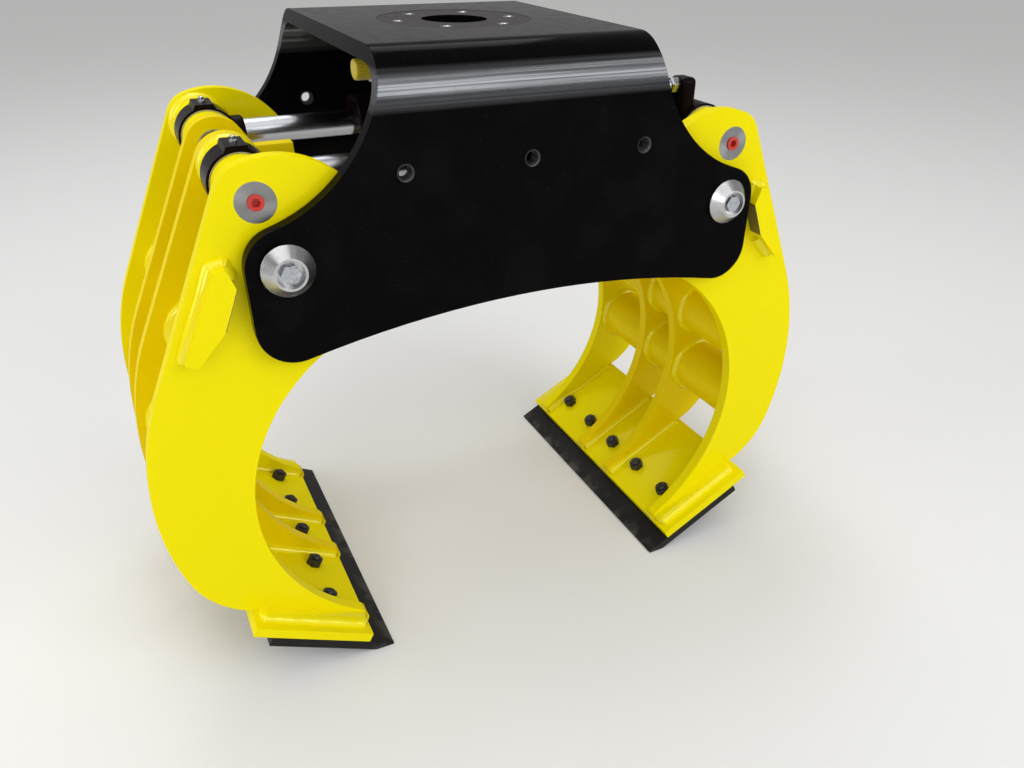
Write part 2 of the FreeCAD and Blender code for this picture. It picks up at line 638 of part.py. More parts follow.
def carrier():
    corners = [on_slope(0, 0), on_slope(CARRIER_LENGTH, 0), on_slope(CARRIER_LENGTH, CARRIER_PLATE),
               on_slope(0, CARRIER_PLATE)]
    plate = polygon(corners, -CARRIER_END, CARRIER_END)
    holes = [Part.makeCylinder(BLADE_BOLT_R + BOLT_HOLE_GAP, CARRIER_PLATE, p, slope_axis())
             for p in bolt_places()]
    return plate.cut(holes)


def blade():
    bar = polygon(blade_outline(), -CARRIER_END, CARRIER_END)
    holes = []
    for p in bolt_places():
        under = raised(p, -BLADE_PLATE)
        holes.append(Part.makeCylinder(BLADE_BOLT_R + BOLT_HOLE_GAP, BLADE_PLATE, under, slope_axis()))
        holes.append(Part.makeCone(BLADE_BOLT_HEAD_R, BLADE_BOLT_R, BLADE_BOLT_HEAD, under, slope_axis()))
    return bar.cut(holes)


def blade_bolt(place):
    """Countersunk bolt from below, through blade, carrier and nut."""
    under = raised(place, -BLADE_PLATE)
    length = BLADE_PLATE + CARRIER_PLATE + NUT_HEIGHT + BOLT_PAST_NUT
    head = Part.makeCone(BLADE_BOLT_HEAD_R, BLADE_BOLT_R, BLADE_BOLT_HEAD, under, slope_axis())
    shank = Part.makeCylinder(BLADE_BOLT_R, length - BOLT_POINT, under, slope_axis())
    point = Part.makeCone(BLADE_BOLT_R, BLADE_BOLT_R - BOLT_POINT, BOLT_POINT,
                          raised(under, length - BOLT_POINT), slope_axis())
    return head.fuse([shank, point])


def blade_nut(place):
    seat = raised(place, CARRIER_PLATE)
    nut = hexagon(NUT_FLATS, NUT_HEIGHT, seat, slope_axis())
    dome = Part.makeCone(NUT_FLATS / 2 + NUT_HEIGHT, NUT_FLATS / 2, NUT_HEIGHT, seat, slope_axis())
    return nut.common(dome).cut(Part.makeCylinder(BLADE_BOLT_R, NUT_HEIGHT, seat, slope_axis()))


def make_jaw(name, side):
    """Write one jaw: side is +1 for the right jaw and -1 for the left."""
    def put(piece, shapes):
        placed = [moved(s, x=PIVOT_X) for s in shapes]
        if side < 0:
            placed = [s.mirror(Vec(0, 0, 0), Vec(1, 0, 0)) for s in placed]
        save(name + "_" + piece, placed)

    outer = front_and_rear(outer_tine())
    put("outer_tine_front", outer[:1])
    put("outer_tine_rear", outer[1:])
    put("inner_tine_front", [inner_tine(True)])
    put("inner_tine_rear", front_and_rear(inner_tine(False))[1:])
    put("cross_tubes", cross_tubes())
    put("pivot_tube", [pivot_tube()])
    put("pivot_bushes", front_and_rear(pivot_bush()))
    put("pin_bosses", [b for boss in pin_bosses() for b in front_and_rear(boss)])
    put("cylinder_pins", front_and_rear(cylinder_pin()))
    put("pin_plugs", front_and_rear(pin_plug()))
    put("pin_keepers", [k for keeper in pin_keeper() for k in front_and_rear(keeper)])
    put("stop_lugs", front_and_rear(stop_lug()))
    put("carrier_plate", [carrier()])
    put("blade", [blade()])
    put("blade_bolts", [blade_bolt(p) for p in bolt_places()])
    put("blade_nuts", [blade_nut(p) for p in bolt_places()])


# Cylinders, drawn with the pin at x = 0 and pointing along +X

def eye(neck):
    """Eye with its bush hole, and the neck that joins it to the rest."""
    ring = rod_along_y((0.0, 0.0), EYE_R, -EYE_WIDTH / 2, EYE_WIDTH / 2)
    hole = rod_along_y((0.0, 0.0), PIN_R + RUNNING_GAP + EYE_BUSH_WALL, -EYE_WIDTH / 2, EYE_WIDTH / 2)
    return ring.fuse(neck).cut(hole)


def eye_bush():
    bore = PIN_R + RUNNING_GAP
    ring = rod_along_y((0.0, 0.0), bore + EYE_BUSH_WALL, -EYE_WIDTH / 2, EYE_WIDTH / 2)
    return ring.cut(rod_along_y((0.0, 0.0), bore, -EYE_WIDTH / 2, EYE_WIDTH / 2))


def rod_end():
    """Distance from the rod's pin to the end of the piston, from the retracted length."""
    return pin_spread(OPENING_ANGLE) - BARREL_START - BARREL_CAP - STROKE_SPARE


def rod_eye():
    neck = rod_along_x(0, ROD_EYE_REACH, 0, 0, NECK_HALF)
    rounded = [e for e in neck.Edges if abs(e.BoundBox.XMin - ROD_EYE_REACH) < 1e-6]
    neck = neck.makeFillet(NECK_HALF - ROD_R - 1, rounded)
    pad = polygon([(-PAD_FOOT_HALF, 0.8 * EYE_R), (PAD_FOOT_HALF, 0.8 * EYE_R), (PAD_HALF, PAD_TOP),
                   (-PAD_HALF, PAD_TOP)], -EYE_WIDTH / 2, EYE_WIDTH / 2)
    thread = rod_along_x(ROD_EYE_REACH - ROD_THREAD, ROD_EYE_REACH, 0, 0, ROD_R)
    return eye(neck.fuse(pad)).cut(thread)


def rod():
    piston_back = rod_end()
    shaft = rod_along_x(ROD_EYE_REACH - ROD_THREAD, piston_back - PISTON_LENGTH, 0, 0, ROD_R)
    return shaft.fuse(rod_along_x(piston_back - PISTON_LENGTH, piston_back, 0, 0, ROD_R / 2))


def piston():
    back = rod_end()
    r = BORE_R - SLIDE_GAP
    groove = r - PISTON_GROOVE
    third = PISTON_LENGTH / 5
    profile = [(ROD_R / 2, 0), (r, 0), (r, third), (groove, third), (groove, 2 * third), (r, 2 * third),
               (r, 3 * third), (groove, 3 * third), (groove, 4 * third), (r, 4 * third),
               (r, PISTON_LENGTH), (ROD_R / 2, PISTON_LENGTH)]
    return revolve(profile, Vec(back - PISTON_LENGTH, 0, 0), Vec(1, 0, 0))


def barrel():
    neck = Part.makeBox(BARREL_START, 2 * NECK_HALF, 2 * NECK_HALF, Vec(0, -NECK_HALF, -NECK_HALF))
    tube = rod_along_x(BARREL_START, BARREL_REACH, 0, 0, BARREL_R)
    bore = rod_along_x(BARREL_START + BARREL_CAP, BARREL_REACH, 0, 0, BORE_R)
    return eye(neck).fuse(tube).cut(bore)


def gland():
    """Rod guide in the open end of the barrel, with a flange outside."""
    rod_hole = ROD_R + SLIDE_GAP
    profile = [(rod_hole, -GLAND_LENGTH), (BORE_R, -GLAND_LENGTH), (BORE_R, 0), (BARREL_R, 0),
               (BARREL_R, GLAND_FLANGE - 2), (BARREL_R - 2, GLAND_FLANGE), (rod_hole, GLAND_FLANGE)]
    return revolve(profile, Vec(BARREL_REACH, 0, 0), Vec(1, 0, 0))


def port_block():
    """Valve block on the neck of the barrel, with a rounded crown."""
    x0 = BLOCK_FROM_PIN
    x1 = BLOCK_FROM_PIN + BLOCK_LENGTH
    crown = 0.3 * BLOCK_ROUND
    near = (x0, BLOCK_TOP - BLOCK_ROUND)
    near_top = (x0 + BLOCK_ROUND, BLOCK_TOP)
    far_top = (x1 - crown, BLOCK_TOP)
    far = (x1, BLOCK_TOP - crown)
    edges = [line((x0, 0.0), near), round_arc((x0 + BLOCK_ROUND, BLOCK_TOP - BLOCK_ROUND), near, near_top),
             line(near_top, far_top), round_arc((x1 - crown, BLOCK_TOP - crown), far_top, far),
             line(far, (x1, 0.0)), line((x1, 0.0), (x0, 0.0))]
    solid = slab(edges, -BLOCK_WIDTH / 2, BLOCK_WIDTH / 2)
    solid_eye = rod_along_y((0.0, 0.0), EYE_R, -EYE_WIDTH / 2, EYE_WIDTH / 2)
    return solid.cut([barrel(), solid_eye])


def port_fitting():
    x = BLOCK_FROM_PIN + BLOCK_LENGTH
    nut = hexagon(FITTING_FLATS, FITTING_HEX, Vec(x, 0, FITTING_Z), Vec(1, 0, 0))
    neck = rod_along_x(x, x + FITTING_HEX + FITTING_NECK, 0, FITTING_Z, FITTING_NECK_R)
    return nut.fuse(neck)


def make_cylinder(name, y):
    rod_pin = Vec(-PIVOT_X - CYLINDER_PIN[0], y, CYLINDER_PIN[1])
    barrel_pin = Vec(PIVOT_X + CYLINDER_PIN[0], y, CYLINDER_PIN[1])

    def on_rod(piece, shape):
        save(name + "_" + piece, [moved(shape, rod_pin.x, rod_pin.y, rod_pin.z)])

    def on_barrel(piece, shape):
        turned = shape.mirror(Vec(0, 0, 0), Vec(1, 0, 0))
        save(name + "_" + piece, [moved(turned, barrel_pin.x, barrel_pin.y, barrel_pin.z)])

    on_rod("rod_eye", rod_eye())
    on_rod("rod_bush", eye_bush())
    on_rod("rod", rod())
    on_rod("piston", piston())
    on_barrel("barrel", barrel())
    on_barrel("barrel_bush", eye_bush())
    on_barrel("gland", gland())
    on_barrel("port_block", port_block())
    on_barrel("port_fitting", port_fitting())


os.makedirs("parts", exist_ok=True)
make_yoke()
make_coupling()
make_jaw("left", -1)
make_jaw("right", 1)
make_cylinder("front", -CYLINDER_Y)
make_cylinder("rear", CYLINDER_Y)
print("pivots above ground", round(STAND_HEIGHT, 3))
print("closing angle", round(closing_angle(), 4))
print("pin spread open, drawn, closed", [round(pin_spread(a), 2) for a in (OPENING_ANGLE, 0, -closing_angle())])
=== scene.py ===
# %% [markdown]
# # A sorting grapple for an excavator
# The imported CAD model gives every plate, pin and tube its true shape and place. Blender adds what
# a drawing leaves out: weld beads, small fittings, paint, turned steel and light.

# %% Load the frame
import bmesh
import bpy
import json
import math
from mathutils import Matrix, Vector


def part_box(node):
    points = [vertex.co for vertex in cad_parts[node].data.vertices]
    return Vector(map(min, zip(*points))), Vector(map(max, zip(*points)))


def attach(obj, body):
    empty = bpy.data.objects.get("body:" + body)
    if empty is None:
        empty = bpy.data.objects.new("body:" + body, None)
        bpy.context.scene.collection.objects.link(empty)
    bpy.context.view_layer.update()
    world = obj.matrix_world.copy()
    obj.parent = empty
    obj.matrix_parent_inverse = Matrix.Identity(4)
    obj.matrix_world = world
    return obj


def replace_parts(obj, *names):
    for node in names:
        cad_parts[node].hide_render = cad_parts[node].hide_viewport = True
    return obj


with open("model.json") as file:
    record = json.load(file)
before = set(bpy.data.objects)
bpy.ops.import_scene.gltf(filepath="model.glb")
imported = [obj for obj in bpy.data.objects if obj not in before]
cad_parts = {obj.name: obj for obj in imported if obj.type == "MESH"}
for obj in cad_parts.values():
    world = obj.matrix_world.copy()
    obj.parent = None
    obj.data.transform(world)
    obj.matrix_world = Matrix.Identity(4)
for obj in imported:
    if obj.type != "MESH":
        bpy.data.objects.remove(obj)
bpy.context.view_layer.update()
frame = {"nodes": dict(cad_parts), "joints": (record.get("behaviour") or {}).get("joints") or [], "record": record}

# %% [markdown]
# ## Places taken from the frame
# Every piece made here starts from a joint of the model or from the box of a CAD node, and a few
# named sizes lead on from there. Whatever sits on a jaw is made for the right one first, and the
# left jaw gets its mirror image.

# %% Pivots and pins
joints = {j["name"]: Vector(j["pos_m"]) for j in frame["joints"]}
PIVOT = joints["right_jaw_pivot"]
PIN = joints["front_barrel_pin"]
FLANGE_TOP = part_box("yoke_frame")[1].z
print("pivot", tuple(PIVOT), "cylinder pin", tuple(PIN), "flange", round(FLANGE_TOP, 4))

# %% [markdown]
# ## Camera
# The view is from the front and the left, a little above the yoke, through a wide lens. The place
# and turn were fitted to the holes, bolts and plate edges of the real grapple. The lens is shifted
# as well, which moves the picture in its frame without tilting the upright lines.

# %% Camera
CAMERA_PLACE = (-0.4975, -1.2261, 1.0553)
CAMERA_TURN = (57.852, -0.94, -27.136)
CAMERA_LENS = 28.743
CAMERA_SHIFT = (-0.02323, 0.0319)
camera = bpy.data.objects.new("camera", bpy.data.cameras.new("camera"))
bpy.context.scene.collection.objects.link(camera)
camera.location = CAMERA_PLACE
camera.rotation_euler = [math.radians(a) for a in CAMERA_TURN]
camera.data.lens = CAMERA_LENS
camera.data.shift_x, camera.data.shift_y = CAMERA_SHIFT
bpy.context.scene.camera = camera
print("camera", CAMERA_LENS, "mm")

# %% [markdown]
# ## Floor and light
# The floor is one wide pale square, large enough to reach past every view. A grid with a single
# segment makes it. It is matt, so it shows a soft shadow and no reflection.

# %% Floor
FLOOR_HALF = 30.0
FLOOR_GREY = (0.74, 0.74, 0.74, 1)
FLOOR_ROUGHNESS = 0.8
mesh = bpy.data.meshes.new("floor")
bm = bmesh.new()
bmesh.ops.create_grid(bm, x_segments=1, y_segments=1, size=FLOOR_HALF)
bm.to_mesh(mesh)
bm.free()
floor = bpy.data.objects.new("floor", mesh)
bpy.context.scene.collection.objects.link(floor)
floor_paint = bpy.data.materials.new("floor")
floor_paint.use_nodes = True
floor_shader = floor_paint.node_tree.nodes["Principled BSDF"]
floor_shader.inputs["Base Color"].default_value = FLOOR_GREY
floor_shader.inputs["Roughness"].default_value = FLOOR_ROUGHNESS
mesh.materials.append(floor_paint)
print("floor", 2 * FLOOR_HALF, "m across")

# %% [markdown]
# ### World
# A pale, almost neutral world stands for the walls of a bright studio. It fills the shadows and
# gives chrome something light to mirror on the sides that no lamp covers.

# %% World
WORLD_GREY = (0.88, 0.87, 0.86, 1)
WORLD_LIGHT = 0.42
world = bpy.data.worlds.new("studio")
bpy.context.scene.world = world
world.use_nodes = True
sky = world.node_tree.nodes["Background"]
sky.inputs["Color"].default_value = WORLD_GREY
sky.inputs["Strength"].default_value = WORLD_LIGHT
print("world", WORLD_LIGHT)

# %% [markdown]
# ### Lamps
# Gloss black paint shows only what it mirrors. One wide lamp stands in front on the right, where
# the fold of the yoke mirrors it to the camera as a long pale band, made brighter by a painted
# highlight of grey metal on the fold. Four smaller ones stand on the left, at the back and overhead,
# so that no side is left without a bright shape to mirror. A very soft sun lights object and floor
# alike, so the floor stays pale far behind the grapple.

# %% Lamps
MIDDLE = (0, 0, 0.5)
LAMPS = {
    "window": {"place": (1.9, -3.7, 2.6), "size": (3.0, 3.0), "glow": 3.0},
    "left": {"place": (-2.8, -3.0, 2.0), "size": (1.8, 1.8), "glow": 3.4},
    "back": {"place": (0.6, 2.6, 4.0), "size": (3.0, 1.6), "glow": 2.6},
    "ceiling": {"place": (-0.4, 0.7, 3.4), "size": (1.4, 0.7), "glow": 5.0},
    "side": {"place": (-3.2, 0.4, 1.8), "size": (1.8, 1.8), "glow": 2.6},
}
SUN_STRENGTH = 0.85
SUN_SPREAD = math.radians(60)
SUN_TURN = (math.radians(20), math.radians(-12), 0)


def softbox(name, place, size, glow):
    """A rectangular lamp at place that faces the grapple; glow is its brightness per area."""
    data = bpy.data.lights.new(name, "AREA")
    data.shape = "RECTANGLE"
    data.size, data.size_y = size
    data.energy = glow * math.pi * size[0] * size[1]
    lamp = bpy.data.objects.new(name, data)
    lamp.location = place
    lamp.rotation_euler = (Vector(MIDDLE) - Vector(place)).to_track_quat("-Z", "Y").to_euler()
    bpy.context.scene.collection.objects.link(lamp)


for name, settings in LAMPS.items():
    softbox(name, **settings)
sun = bpy.data.lights.new("overhead", "SUN")
sun.energy = SUN_STRENGTH
sun.angle = SUN_SPREAD
above = bpy.data.objects.new("overhead", sun)
above.rotation_euler = SUN_TURN
bpy.context.scene.collection.objects.link(above)
bpy.context.scene.view_settings.view_transform = "Standard"
print("lamps", len(bpy.data.lights))

# %% [markdown]
# ## Finishes
# Every finish starts from the Principled shader. Patterns read Object coordinates, because each
# piece lies at the origin with its place in its mesh, so one metre of pattern is one metre of
# steel. The class below only shortens the calls that add a node and join its sockets.

# %% Node helpers
BEVEL_SAMPLES = 6
SPECK_CORE = 0.6


class Finish:
    """A material and short ways to add and join its nodes."""

    def __init__(self, name, **values):
        self.material = bpy.data.materials.new(name)
        self.material.use_nodes = True
        self.tree = self.material.node_tree
        self.shader = self.tree.nodes["Principled BSDF"]
        for socket, value in values.items():
            title = socket.replace("_", " ").title().replace("Ior", "IOR")
            self.shader.inputs[title].default_value = value
        self.place = self.node("TexCoord").outputs["Object"]

    def node(self, kind, **settings):
        """A new shader node of this kind."""
        made = self.tree.nodes.new("ShaderNode" + kind)
        for key, value in settings.items():
            setattr(made, key, value)
        return made

    def put(self, value, socket):
        """Link an output to a socket, or set a plain number or colour on it."""
        if isinstance(value, bpy.types.NodeSocket):
            self.tree.links.new(value, socket)
        else:
            socket.default_value = value

    def to(self, socket, value):
        """Send a value to a socket of the shader itself."""
        self.put(value, self.shader.inputs[socket])

    def math(self, operation, a, b=0.0):
        """One step of arithmetic on one or two numbers."""
        made = self.node("Math", operation=operation)
        for value, socket in zip((a, b), made.inputs):
            self.put(value, socket)
        return made.outputs[0]

    def axes(self):
        """Object coordinates as three numbers."""
        made = self.node("SeparateXYZ")
        self.put(self.place, made.inputs[0])
        return made.outputs

    def scaled(self, factors, move=(0, 0, 0)):
        """Object coordinates, moved and then stretched."""
        shifted = self.node("VectorMath", operation="ADD")
        self.put(self.place, shifted.inputs[0])
        shifted.inputs[1].default_value = move
        made = self.node("VectorMath", operation="MULTIPLY")
        self.put(shifted.outputs[0], made.inputs[0])
        made.inputs[1].default_value = factors
        return made.outputs[0]

    def noise(self, scale, detail, vector=None):
        """Cloudy noise from 0 to 1, with about scale clouds to the metre."""
        made = self.node("TexNoise")
        self.put(vector or self.place, made.inputs["Vector"])
        made.inputs["Scale"].default_value = scale
        made.inputs["Detail"].default_value = detail
        return made.outputs["Fac"]

    def ramp(self, value, low, high, out_low=0.0, out_high=1.0):
        """Straight change from out_low at low to out_high at high, and level beyond."""
        made = self.node("MapRange", clamp=True)
        for item, socket in zip((value, low, high, out_low, out_high), made.inputs):
            self.put(item, socket)
        return made.outputs[0]

    def mix(self, factor, a, b):
        """Blend of two colours."""
        made = self.node("Mix", data_type="RGBA")
        self.put(factor, made.inputs["Factor"])
        for value, socket in zip((a, b), (made.inputs[6], made.inputs[7])):
            self.put(value, socket)
        return made.outputs[2]

    def cells(self, scale):
        """Random cells: the distance to the middle of each, and two random numbers for it."""
        made = self.node("TexVoronoi")
        self.put(self.place, made.inputs["Vector"])
        made.inputs["Scale"].default_value = scale
        tint = self.node("SeparateColor")
        self.put(made.outputs["Color"], tint.inputs[0])
        return made.outputs["Distance"], tint.outputs[0], tint.outputs[1]

    def specks(self, scale, size, share):
        """Small dots: 1 inside a dot. Share is how many of the cells have one."""
        distance, lot, _ = self.cells(scale)
        dot = self.ramp(distance, size, SPECK_CORE * size)
        return self.math("MULTIPLY", dot, self.math("LESS_THAN", lot, share))

    def surface(self, height, strength, depth, edge=0.0):
        """Bump from a height, over edges that are eased by a small radius."""
        bump = self.node("Bump")
        bump.inputs["Strength"].default_value = strength
        bump.inputs["Distance"].default_value = depth
        self.put(height, bump.inputs["Height"])
        if edge:
            bevel = self.node("Bevel", samples=BEVEL_SAMPLES)
            bevel.inputs["Radius"].default_value = edge
            self.put(bevel.outputs[0], bump.inputs["Normal"])
        self.to("Normal", bump.outputs[0])


# %% [markdown]
# ### Yoke paint
# The yoke is sprayed gloss black. Up close it shows orange peel, fine rub marks, streaks along the
# press-brake fold and a little dust. A band of the fold is turned to streaky grey metal: a painted
# highlight where the fold mirrors the lamp in front. Two masks switch that paint off. The walls of
# the tapped holes are bare steel, darkened to near black as painted shade inside the holes, and are
# found by their distance from each hole's axis. The round seat for the rotator is cut half a
# millimetre into the top and keeps a dull grey, found by radius and height.

# %% Yoke paint
GLOSS_BLACK = (0.0024, 0.0020, 0.0022, 1)
RUB_FILM = (0.20, 0.19, 0.19, 1)
DUST = (0.30, 0.28, 0.26, 1)
FOLD_HIGHLIGHT_GREY = (0.15, 0.155, 0.165, 1)
BARE_STEEL_IN_PAINTED_SHADE = (0.07, 0.07, 0.07, 1)
SEAT_GREY = (0.055, 0.048, 0.051, 1)
HOLE_PITCH = 0.175
HOLE_HEIGHT = PIVOT.z + 0.099
HOLE_BARE_R = 0.0112
SEAT_R = 0.113
SEAT_BAND = 0.0008
FOLD_LOW = (0.070, 0.0504)
FOLD_HIGH = (0.020, 0.034)


def yoke_black():
    """Gloss black with streaks and a painted highlight on the fold, bare holes in painted shade and a dull seat.
    """
    f = Finish("yoke_black", specular_ior_level=0.02)
    x, y, z = f.axes()

    def length(a, b):
        squares = f.math("ADD", f.math("POWER", a, 2.0), f.math("POWER", b, 2.0))
        return f.math("SQRT", squares)

    across = f.math("ABSOLUTE", x)
    from_outer = f.math("ABSOLUTE", f.math("SUBTRACT", across, HOLE_PITCH))
    nearest = f.math("MINIMUM", across, from_outer)
    hole = f.math("LESS_THAN", length(nearest, f.math("SUBTRACT", z, HOLE_HEIGHT)), HOLE_BARE_R)
    on_top = f.math("GREATER_THAN", z, FLANGE_TOP - SEAT_BAND)
    seat = f.math("MULTIPLY", f.math("LESS_THAN", length(x, y), SEAT_R), on_top)

    above_low = f.ramp(z, *[FLANGE_TOP - drop for drop in FOLD_LOW])
    below_high = f.ramp(z, *[FLANGE_TOP - drop for drop in FOLD_HIGH])
    fold = f.math("MULTIPLY", above_low, below_high)
    lines = f.noise(300.0, 3.0, f.scaled((0.006, 1.0, 1.0)))
    streak = f.math("MULTIPLY", lines, fold)
    # Streaky grey metal across the fold band: a painted highlight.
    painted_fold_highlight = f.math("MULTIPLY", fold, f.ramp(lines, 0.35, 0.6, 0.35, 0.95))

    film = f.ramp(f.noise(14.0, 5.0), 0.5, 0.8, 0.0, 0.012)
    dust = f.specks(420.0, 0.10, 0.12)
    paint = f.mix(film, GLOSS_BLACK, RUB_FILM)
    paint = f.mix(f.math("MULTIPLY", dust, 0.5), paint, DUST)
    # The painted highlight of the fold goes into the colour here and into Metallic below.
    paint = f.mix(painted_fold_highlight, paint, FOLD_HIGHLIGHT_GREY)
    paint = f.mix(f.math("MULTIPLY", seat, 0.9), paint, SEAT_GREY)
    # Hole walls: bare steel darkened to near black, painted shade inside the holes.
    f.to("Base Color", f.mix(hole, paint, BARE_STEEL_IN_PAINTED_SHADE))
    f.to("Metallic", f.math("MAXIMUM", hole, painted_fold_highlight))

    scratches = f.noise(60.0, 3.0, f.scaled((1.0, 1.0, 14.0)))
    rubbed = f.ramp(scratches, 0.35, 0.7, 0.09, 0.19)
    gloss = f.math("ADD", rubbed, f.math("MULTIPLY", streak, 0.10))
    unpainted = f.math("MULTIPLY", f.math("MAXIMUM", hole, seat), 0.25)
    f.to("Roughness", f.math("ADD", gloss, unpainted))
    peel = f.math("ADD", f.noise(330.0, 2.0), f.math("MULTIPLY", streak, 1.5))
    f.surface(peel, 0.10, 0.0004, edge=0.0012)
    return f.material


# %% [markdown]
# ### Jaw paint
# The jaws are one even yellow. Deep inside, yellow plates light each other and look warmer, so the
# inner tines and tubes get a deeper, warmer yellow as painted shade. Weld beads keep a thicker,
# shinier skin, so they get more clear coat and catch thin highlights. Where a stop lug meets the
# yoke, paint is knocked off.
# That seat is a plane, and its distance from the pivot is the mask. It leans by the angle that
# each jaw still has to close.

# %% Jaw paint
YELLOW = (0.84, 0.725, 0.0015, 1)
YELLOW_PAINTED_SHADE = (0.83, 0.640, 0.0012, 1)
GRIT = (0.30, 0.20, 0.02, 1)
KNOCKED_STEEL = (0.16, 0.135, 0.09, 1)
LEFT_TO_CLOSE = math.radians(22.956)
SEAT_NORMAL = (math.cos(LEFT_TO_CLOSE), math.sin(LEFT_TO_CLOSE))
SEAT_OUT = 0.0512
SEAT_WEAR = 0.0008
YELLOW_SHEEN = 0.10


def jaw_yellow(name, coat, colour=YELLOW, lug=False):
    """Yellow paint under some clear coat, knocked off at the seat of a lug."""
    f = Finish(name, specular_ior_level=0.0, coat_weight=coat, coat_roughness=0.10)
    grit = f.specks(260.0, 0.09, 0.04)
    paint = f.mix(f.math("MULTIPLY", grit, 0.4), colour, GRIT)
    sheen = YELLOW_SHEEN
    if lug:
        x, _, z = f.axes()
        out = f.math("SUBTRACT", f.math("ABSOLUTE", x), PIVOT.x)
        up = f.math("SUBTRACT", z, PIVOT.z)
        across, along = [f.math("MULTIPLY", a, b) for a, b in zip((out, up), SEAT_NORMAL)]
        ragged = f.math("MULTIPLY", f.noise(150.0, 4.0), 0.0016)
        gap = f.math("ADD", f.math("ADD", across, along), ragged)
        worn = f.math("LESS_THAN", gap, SEAT_OUT + SEAT_WEAR)
        paint = f.mix(worn, paint, KNOCKED_STEEL)
        sheen = f.math("ADD", f.math("MULTIPLY", worn, 0.6), sheen)
    f.to("Base Color", paint)
    f.to("Metallic", sheen)
    f.to("Roughness", f.ramp(f.noise(30.0, 2.0), 0.3, 0.75, 0.29, 0.34))
    f.surface(f.noise(260.0, 2.0), 0.06, 0.0004, edge=0.0007)
    return f.material


# %% [markdown]
# ### Black parts
# Cylinders wear a satin black, and the blades a flatter one that is rubbed to grey steel along the
# cutting edge, where noise breaks the line up.

# %% Black parts
SATIN_BLACKS = ((0.005, 0.0025, 0.0028, 1), (0.009, 0.005, 0.0055, 1))
BLADE_BLACKS = ((0.006, 0.0055, 0.0055, 1), (0.014, 0.012, 0.012, 1))
BLADE_STEEL = (0.09, 0.085, 0.08, 1)
BLADE_WEAR = (0.014, 0.0028)


def satin_black():
    """Satin black for cylinders and ports."""
    f = Finish("satin_black", specular_ior_level=0.03)
    f.to("Base Color", f.mix(f.ramp(f.noise(30.0, 4.0), 0.4, 0.8), *SATIN_BLACKS))
    f.to("Roughness", f.ramp(f.noise(45.0, 3.0), 0.3, 0.7, 0.16, 0.28))
    f.surface(f.noise(420.0, 2.0), 0.10, 0.0003, edge=0.0010)
    return f.material


def blade_black():
    """Flat black, rubbed to steel near the ground."""
    f = Finish("blade_black", specular_ior_level=0.2)
    patchy = f.noise(40.0, 5.0)
    low = f.ramp(f.axes()[2], *BLADE_WEAR)
    worn = f.math("MULTIPLY", low, f.ramp(patchy, 0.45, 0.62))
    tone = f.mix(f.ramp(f.noise(12.0, 4.0), 0.4, 0.75), *BLADE_BLACKS)
    f.to("Base Color", f.mix(worn, tone, BLADE_STEEL))
    f.to("Metallic", f.math("MULTIPLY", worn, 0.8))
    f.to("Roughness", f.ramp(patchy, 0.3, 0.7, 0.34, 0.52))
    f.surface(f.noise(190.0, 3.0), 0.16, 0.0004, edge=0.0012)
    return f.material


# %% [markdown]
# ### Turned steel
# Pin heads and cones come off a lathe. Their fine rings stretch a highlight into bright spokes,
# which the shader's anisotropy makes when its tangent runs round the axis of the piece.

# %% Turned steel
PIN_GREY = (0.34, 0.34, 0.34, 1)
CONE_GREY = (0.58, 0.58, 0.59, 1)
LATHE_STAIN = (0.10, 0.095, 0.09, 1)
ALONG_Y = (0, 1, 0)


def turned_steel(name, axis_x, axis_z, colour, roughness, rings):
    """Steel with rings round an axis along Y; rings is how many there are to the metre."""
    f = Finish(name, metallic=1.0, anisotropic=0.85)
    arm = f.scaled((1.0, 0.0, 1.0), (-axis_x, 0.0, -axis_z))
    around = f.node("VectorMath", operation="CROSS_PRODUCT")
    f.put(arm, around.inputs[0])
    around.inputs[1].default_value = ALONG_Y
    unit = f.node("VectorMath", operation="NORMALIZE")
    f.put(around.outputs[0], unit.inputs[0])
    f.to("Tangent", unit.outputs[0])
    length = f.node("VectorMath", operation="LENGTH")
    f.put(arm, length.inputs[0])
    ring = f.math("SINE", f.math("MULTIPLY", length.outputs["Value"], 2 * math.pi * rings))
    stain = f.ramp(f.noise(35.0, 4.0), 0.35, 0.8, 1.0, 0.72)
    shade = f.math("MULTIPLY", stain, f.ramp(ring, -1.0, 1.0, 0.93, 1.0))
    f.to("Base Color", f.mix(shade, LATHE_STAIN, colour))
    patchy = f.ramp(f.noise(70.0, 3.0), 0.3, 0.7, 0.0, 0.08)
    f.to("Roughness", f.math("ADD", patchy, roughness))
    f.surface(ring, 0.06, 0.0002, edge=0.0008)
    return f.material


# %% [markdown]
# ### Chrome, zinc and other metals
# A rod is ground and polished, and its chrome smears highlights one way: its tangent is X, along
# the rod, and the noise is stretched that way. Zinc plating has small crystals of different
# brightness, which are the cells of a Voronoi pattern. Plain and blacked steel only vary softly.

# %% Chrome, zinc and other metals
CHROME_GREYS = ((0.46, 0.47, 0.50, 1), (0.38, 0.38, 0.40, 1))
ZINC_GREYS = ((0.34, 0.36, 0.39, 1), (0.52, 0.54, 0.57, 1))
STEEL_GREYS = ((0.36, 0.35, 0.34, 1), (0.52, 0.51, 0.50, 1))
OXIDE_BLACKS = ((0.018, 0.018, 0.020, 1), (0.055, 0.052, 0.050, 1))


